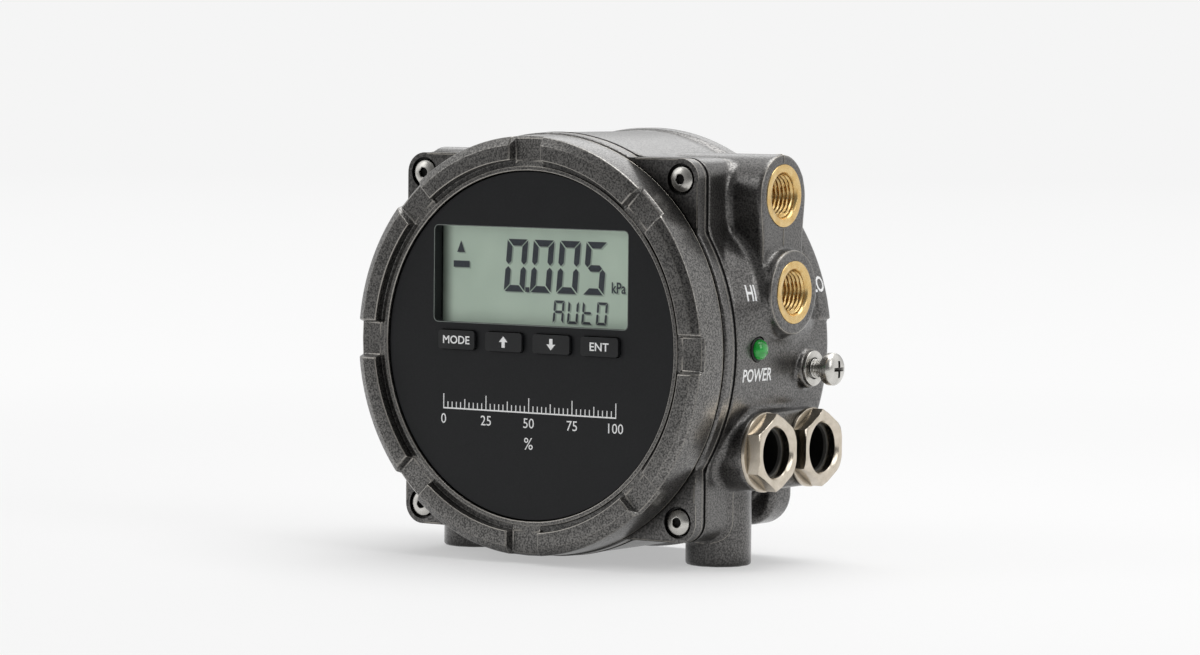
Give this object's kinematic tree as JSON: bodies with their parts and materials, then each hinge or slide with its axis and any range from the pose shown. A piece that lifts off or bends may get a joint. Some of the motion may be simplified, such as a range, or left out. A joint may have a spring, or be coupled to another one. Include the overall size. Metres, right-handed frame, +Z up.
{
  "type": "differential pressure transmitter",
  "caption": "Round cast differential pressure transmitter with a notched screw-on bezel, keyed display face, brass pressure ports, cable entries and an earth screw.",
  "frame": {"origin": "centre of the rear mounting face, on the bezel's axis", "axes": "+Z up, the display faces -Y, the pressure ports and cable entries are on +X"},
  "size_m": [0.1413, 0.0722, 0.1315],
  "materials": {
    "casting": "dark grey textured powder coat on cast aluminium",
    "gasket": "black nitrile rubber",
    "stainless": "turned stainless steel",
    "zinc_steel": "zinc plated steel",
    "fascia_black": "satin black overlay on moulded plastic",
    "key_black": "satin black moulded rubber",
    "clear_lens": "clear polished acrylic",
    "display_panel": "grey-green reflective liquid crystal panel",
    "black_plastic": "black moulded plastic",
    "circuit_board": "green solder resist on glass-fibre laminate",
    "terminal_green": "green moulded plastic",
    "can_aluminium": "bare can",
    "sensor_aluminium": "machined aluminium",
    "diaphragm": "silicone rubber sheet",
    "soft_tube": "translucent silicone tube",
    "brass": "turned brass",
    "nickel_brass": "nickel plated brass",
    "lamp_green": "clear green moulded lens"
  },
  "bodies": {
    "case": {"housing": "casting", "joint_gasket": "gasket", "front_flange": "casting", "flange_screws": "stainless", "fascia": "fascia_black", "window_lens": "clear_lens", "display_glass": "display_panel", "display_frame": "black_plastic", "display_board": "circuit_board", "display_board_screws": "zinc_steel", "key_switches": "black_plastic", "main_board": "circuit_board", "board_spacers": "nickel_brass", "main_board_screws": "zinc_steel", "board_link": "black_plastic", "terminal_block": "terminal_green", "terminal_screws": "zinc_steel", "capacitors": "can_aluminium", "sensor_base": "sensor_aluminium", "sensor_diaphragm": "diaphragm", "sensor_cover": "sensor_aluminium", "sensor_screws": "zinc_steel", "upper_port_insert": "brass", "lower_port_insert": "brass", "lower_tube": "soft_tube", "upper_tube": "soft_tube", "front_gland_bushing": "nickel_brass", "front_gland_seal": "gasket", "rear_gland_bushing": "nickel_brass", "rear_gland_seal": "gasket", "lamp_holder": "black_plastic", "lamp_lens": "lamp_green", "ground_washer": "stainless"},
    "bezel_seal": {"bezel_seal": "gasket"},
    "bezel_ring": {"bezel_ring": "casting"},
    "key_mode": {"key_mode": "key_black"},
    "key_up": {"key_up": "key_black"},
    "key_down": {"key_down": "key_black"},
    "key_enter": {"key_enter": "key_black"},
    "ground_lock_washer": {"ground_lock_washer": "stainless"},
    "ground_screw": {"ground_screw": "stainless"}
  },
  "joints": [
    {"name": "key_mode_press", "type": "slide", "parent": "case", "child": "key_mode", "axis": [0, 1, 0], "range_m": [0, 0.001], "stiffness_N_per_m": 400, "springref_m": -0.0005},
    {"name": "key_up_press", "type": "slide", "parent": "case", "child": "key_up", "axis": [0, 1, 0], "range_m": [0, 0.001], "stiffness_N_per_m": 400, "springref_m": -0.0005},
    {"name": "key_down_press", "type": "slide", "parent": "case", "child": "key_down", "axis": [0, 1, 0], "range_m": [0, 0.001], "stiffness_N_per_m": 400, "springref_m": -0.0005},
    {"name": "key_enter_press", "type": "slide", "parent": "case", "child": "key_enter", "axis": [0, 1, 0], "range_m": [0, 0.001], "stiffness_N_per_m": 400, "springref_m": -0.0005},
    {"name": "bezel_travel", "type": "slide", "parent": "case", "child": "bezel_seal", "axis": [0, -1, 0], "range_m": [0, 0.006]},
    {"name": "bezel_turn", "type": "hinge", "parent": "bezel_seal", "child": "bezel_ring", "pos_m": [0, -0.066, 0], "axis": [0, -1, 0], "range_deg": [0, 1440]},
    {"name": "earth_screw_travel", "type": "slide", "parent": "case", "child": "ground_lock_washer", "axis": [1, 0, 0], "range_m": [-0.004, 0.005]},
    {"name": "earth_screw_turn", "type": "hinge", "parent": "ground_lock_washer", "child": "ground_screw", "pos_m": [0.07, -0.0133, -0.0064], "axis": [1, 0, 0], "range_deg": [-1441, 1801]}
  ],
  "couplings": [
    {"joint": "bezel_travel", "follows": "bezel_turn", "m_per_rad": 0.00023873},
    {"joint": "earth_screw_turn", "follows": "earth_screw_travel", "rad_per_m": 6283.2}
  ]
}
